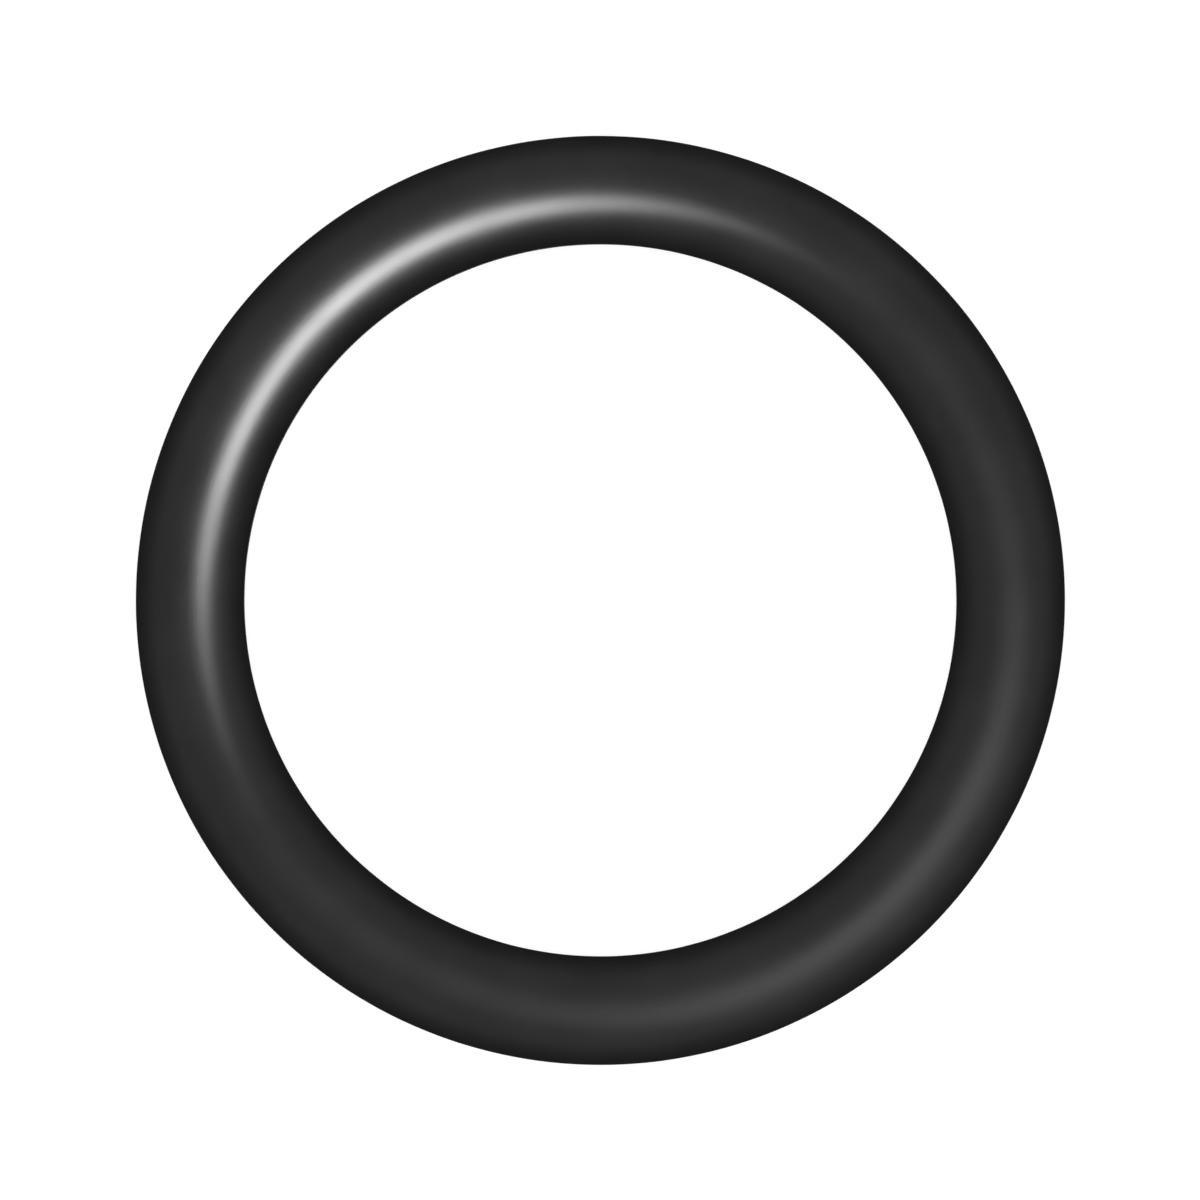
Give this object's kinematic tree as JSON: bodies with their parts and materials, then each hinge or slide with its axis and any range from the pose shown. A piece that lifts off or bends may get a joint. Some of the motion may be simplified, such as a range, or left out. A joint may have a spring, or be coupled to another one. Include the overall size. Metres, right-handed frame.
{
  "type": "rubber o-ring",
  "caption": "Plain black rubber sealing ring of round section, moulded in one piece, that is squeezed in a groove to seal a joint.",
  "frame": {"origin": "centre of the ring, on its axis at mid-height", "axes": "+Z along the ring's axis, so that the ring lies flat; X and Y lie in its plane and are alike"},
  "size_m": [0.0304, 0.0304, 0.0036],
  "materials": {
    "rubber": "smooth satin black, as moulded"
  },
  "bodies": {
    "root": {"o_ring": "rubber"}
  },
  "joints": []
}
